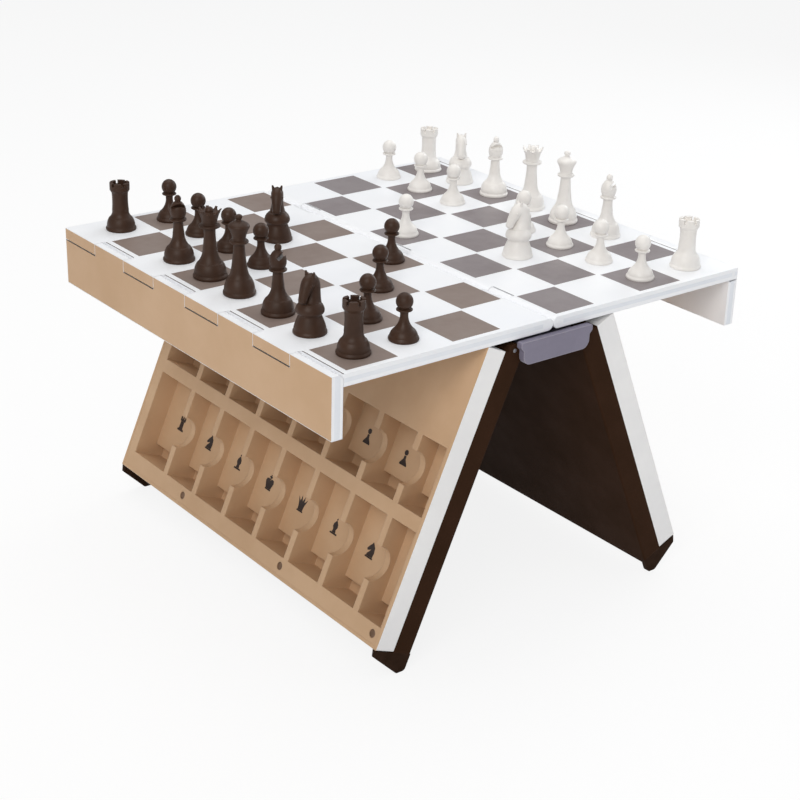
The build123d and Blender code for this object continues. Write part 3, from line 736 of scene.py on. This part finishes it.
king("dark_king", DARK_PIECE_AND_SEAM_SHADE)
king("white_king", WHITE_PIECE)

# Floor, light and camera
FLOOR_SIZE = 9.0
FLOOR_DROP = 0.2 * MM
FLOOR_COLOUR = (0.92, 0.92, 0.92, 1)
FLOOR_ROUGHNESS = 0.8
FLOOR_GLOW_SHARE = 0.86
SKY_COLOUR = (0.95, 0.97, 1.0, 1)
SKY_STRENGTH = 0.36
# Name, place, target, size, power and colour of each studio light
LAMPS = [
    ("key", (-1.3, -0.9, 1.2), (0, 0, 0.12), 1.0, 15, (1.0, 0.97, 0.93)),
    ("fill", (1.2, -1.2, 0.8), (0, 0, 0.12), 1.2, 4, (0.95, 0.97, 1.0)),
    ("window", (1.2, 0.3, 0.75), (0, 0, 0.2), 0.7, 5, (0.93, 0.97, 1.0)),
    ("top", (0.1, 0.4, 1.7), (0, 0, 0.1), 1.4, 12.5, (1.0, 0.99, 0.97)),
]
CAMERA_PLACE = Vector((-0.60563, -0.77234, 0.52639))
CAMERA_AIM = Vector((-0.03700, -0.05492, 0.12))
CAMERA_ROLL = math.radians(1.753)
CAMERA_SENSOR = 36
CAMERA_LENS = 75.72


def pale_floor():
    """A wide pale floor that keeps the shadow and shows pale to camera and glossy rays."""
    shape = bmesh.new()
    bmesh.ops.create_grid(shape, x_segments=1, y_segments=1, size=FLOOR_SIZE)
    bmesh.ops.translate(shape, verts=shape.verts, vec=(0, 0, -FLOOR_DROP))
    mesh = bpy.data.meshes.new("floor")
    shape.to_mesh(mesh)
    shape.free()
    material = bpy.data.materials.new("pale floor")
    material.use_nodes = True
    tree = material.node_tree
    shader = tree.nodes["Principled BSDF"]
    shader.inputs["Base Color"].default_value = FLOOR_COLOUR
    shader.inputs["Roughness"].default_value = FLOOR_ROUGHNESS
    glow = tree.nodes.new("ShaderNodeEmission")
    mixed = tree.nodes.new("ShaderNodeMixShader")
    ray = tree.nodes.new("ShaderNodeLightPath")
    seen = tree.nodes.new("ShaderNodeMath")
    seen.operation = "MAXIMUM"
    share = tree.nodes.new("ShaderNodeMath")
    share.operation = "MULTIPLY"
    share.inputs[1].default_value = FLOOR_GLOW_SHARE
    tree.links.new(ray.outputs["Is Camera Ray"], seen.inputs[0])
    tree.links.new(ray.outputs["Is Glossy Ray"], seen.inputs[1])
    tree.links.new(seen.outputs["Value"], share.inputs[0])
    tree.links.new(share.outputs["Value"], mixed.inputs["Fac"])
    tree.links.new(shader.outputs["BSDF"], mixed.inputs[1])
    tree.links.new(glow.outputs["Emission"], mixed.inputs[2])
    tree.links.new(mixed.outputs["Shader"], tree.nodes["Material Output"].inputs["Surface"])
    mesh.materials.append(material)
    floor = bpy.data.objects.new("floor", mesh)
    bpy.context.scene.collection.objects.link(floor)


def soft_box(name, place, target, size, power, colour):
    """A square studio light aimed at a point."""
    lamp = bpy.data.lights.new(name, "AREA")
    lamp.size = size
    lamp.energy = power
    lamp.color = colour
    holder = bpy.data.objects.new(name, lamp)
    holder.location = place
    holder.rotation_euler = (Vector(target) - Vector(place)).to_track_quat("-Z", "Y").to_euler()
    bpy.context.scene.collection.objects.link(holder)


def studio():
    """A soft sky, and soft lights from the left front, the right and above."""
    world = bpy.data.worlds.new("studio")
    bpy.context.scene.world = world
    world.use_nodes = True
    sky = world.node_tree.nodes["Background"]
    sky.inputs["Color"].default_value = SKY_COLOUR
    sky.inputs["Strength"].default_value = SKY_STRENGTH
    for lamp in LAMPS:
        soft_box(*lamp)


def photo_camera():
    """The camera at the photograph's place, aimed and rolled as it was."""
    lens = bpy.data.cameras.new("camera")
    lens.sensor_width = CAMERA_SENSOR
    lens.lens = CAMERA_LENS
    camera = bpy.data.objects.new("camera", lens)
    aimed = (CAMERA_AIM - CAMERA_PLACE).to_track_quat("-Z", "Y").to_matrix().to_4x4()
    camera.matrix_world = Matrix.Translation(CAMERA_PLACE) @ aimed @ Matrix.Rotation(CAMERA_ROLL, 4, "Z")
    bpy.context.scene.collection.objects.link(camera)
    bpy.context.scene.camera = camera


pale_floor()
studio()
photo_camera()
bpy.context.scene.view_settings.view_transform = "Standard"
